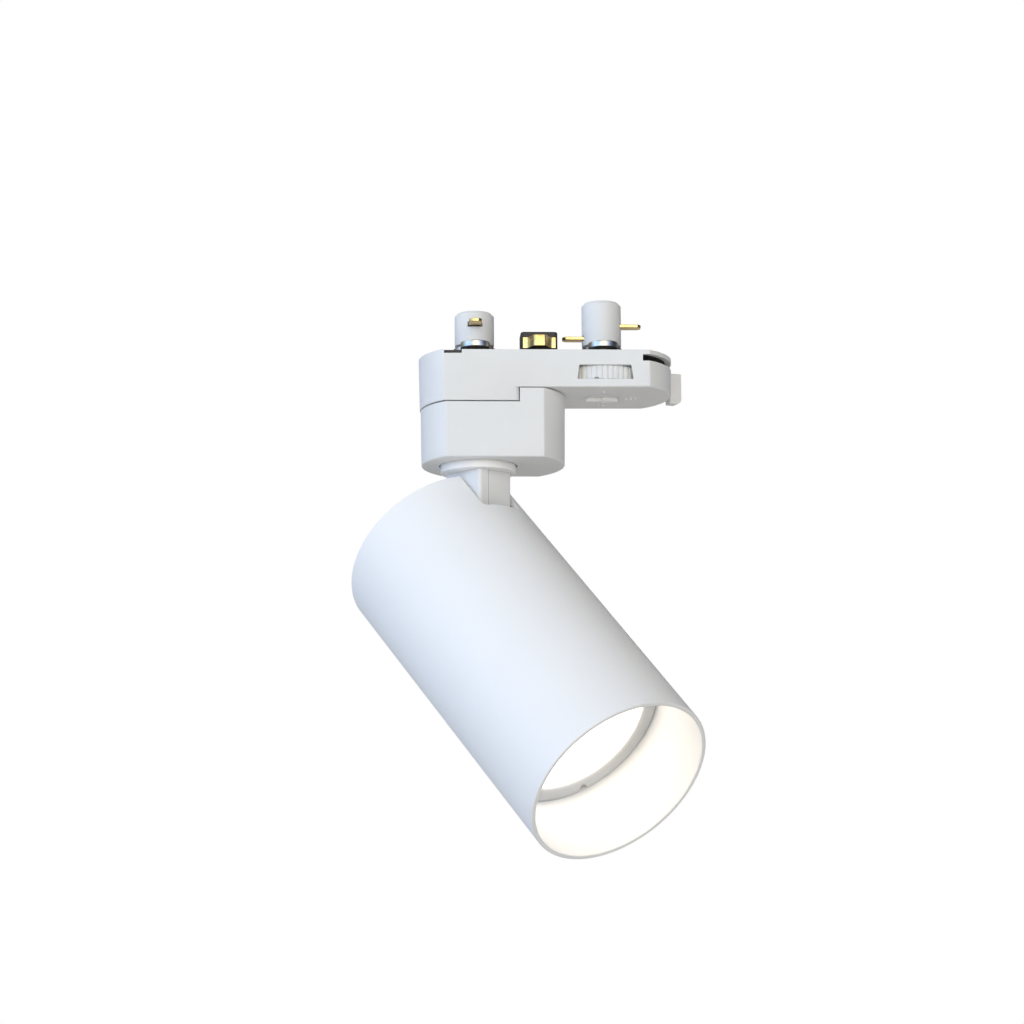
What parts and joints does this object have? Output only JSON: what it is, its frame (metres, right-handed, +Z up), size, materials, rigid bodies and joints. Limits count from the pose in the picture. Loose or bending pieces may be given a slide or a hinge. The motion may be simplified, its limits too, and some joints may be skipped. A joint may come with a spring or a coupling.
{
  "type": "track spotlight",
  "caption": "White track spotlight: a tubular lamp head with a recessed lit lens on a pan and tilt neck, hung from a long track adapter with a phase wheel and lock lever.",
  "frame": {"origin": "on the pan axis, in the plane where the adapter's deck meets the underside of the track", "axes": "+X along the track towards the adapter's nose, +Z up into the track; the lamp head hangs towards -Z and at rest points to +X and -Y"},
  "size_m": [0.106, 0.1128, 0.1782],
  "materials": {
    "white_plastic": "fine matte moulded polycarbonate",
    "white_paint": "matte white powder coat",
    "grey_plastic": "matte light grey moulding",
    "black_plastic": "matte black moulding",
    "steel": "zinc plated",
    "brass": "plain brass strip",
    "ceramic": "unglazed cream ceramic",
    "lens": "frosted lens, lit warm white",
    "led": "lit phosphor"
  },
  "bodies": {
    "adapter": {"adapter_housing": "white_plastic", "lower_housing": "white_plastic", "track_guide": "black_plastic", "earth_contact_near": "brass", "earth_contact_far": "brass", "detent_spring": "steel", "guide_screw_1": "steel", "guide_screw_2": "steel", "guide_screw_3": "steel", "guide_screw_4": "steel", "terminal_block": "black_plastic", "terminal_screw_1": "steel", "terminal_screw_2": "steel", "terminal_screw_3": "steel"},
    "lock": {"lock_lever": "white_plastic", "lock_cam_front": "steel"},
    "link": {"link_bar": "steel"},
    "rear_turret": {"neutral_turret": "white_plastic", "neutral_contact": "brass", "lock_cam_rear": "steel"},
    "selector": {"selector_wheel": "white_plastic", "phase_drum": "white_plastic", "phase_contact_1": "brass", "phase_contact_2": "brass", "phase_contact_3": "brass"},
    "swivel": {"swivel_disc": "white_paint", "swivel_stud": "steel", "stop_washer": "steel", "friction_washer": "steel", "swivel_nut": "steel", "neck_body": "white_plastic", "neck_cover": "white_plastic"},
    "lamp_head": {"lamp_tube": "white_paint", "rear_cap": "white_plastic", "pillar_1": "steel", "pillar_2": "steel", "cap_screw_1": "steel", "cap_screw_2": "steel", "lamp_carrier": "steel", "tilt_bolt": "steel", "tilt_nut": "steel", "tilt_washer_near": "steel", "tilt_washer_far": "steel", "lampholder": "ceramic", "holder_screw_1": "steel", "holder_screw_2": "steel", "lamp_body": "white_plastic", "lamp_lens": "lens", "lamp_led": "led", "lamp_pin_1": "brass", "lamp_pin_2": "brass", "retaining_ring": "grey_plastic"}
  },
  "joints": [
    {"name": "pan", "type": "hinge", "parent": "adapter", "child": "swivel", "pos_m": [0, 0, -0.034], "axis": [0, 0, 1], "range_deg": [-120, 220]},
    {"name": "tilt", "type": "hinge", "parent": "swivel", "child": "lamp_head", "pos_m": [0, 0, -0.07836], "axis": [-0.7649, -0.6441, 0], "range_deg": [-45.8, 2.8]},
    {"name": "lock_turn", "type": "hinge", "parent": "adapter", "child": "lock", "pos_m": [0.0391, 0, -0.0025], "axis": [0, 0, 1], "range_deg": [0, 71.5]},
    {"name": "selector_turn", "type": "hinge", "parent": "lock", "child": "selector", "pos_m": [0.0391, 0, -0.007], "axis": [0, 0, 1], "range_deg": [-90, 90]},
    {"name": "rear_turret_turn", "type": "hinge", "parent": "adapter", "child": "rear_turret", "pos_m": [-0.001, 0, -0.0025], "axis": [0, 0, 1], "range_deg": [0, 71.5]},
    {"name": "link_swing", "type": "hinge", "parent": "lock", "child": "link", "pos_m": [0.04321, 0.00566, -0.004], "axis": [0, 0, 1], "range_deg": [-71.5, 0]}
  ],
  "couplings": [
    {"joint": "rear_turret_turn", "follows": "lock_turn", "ratio": 1},
    {"joint": "link_swing", "follows": "lock_turn", "ratio": -1}
  ]
}
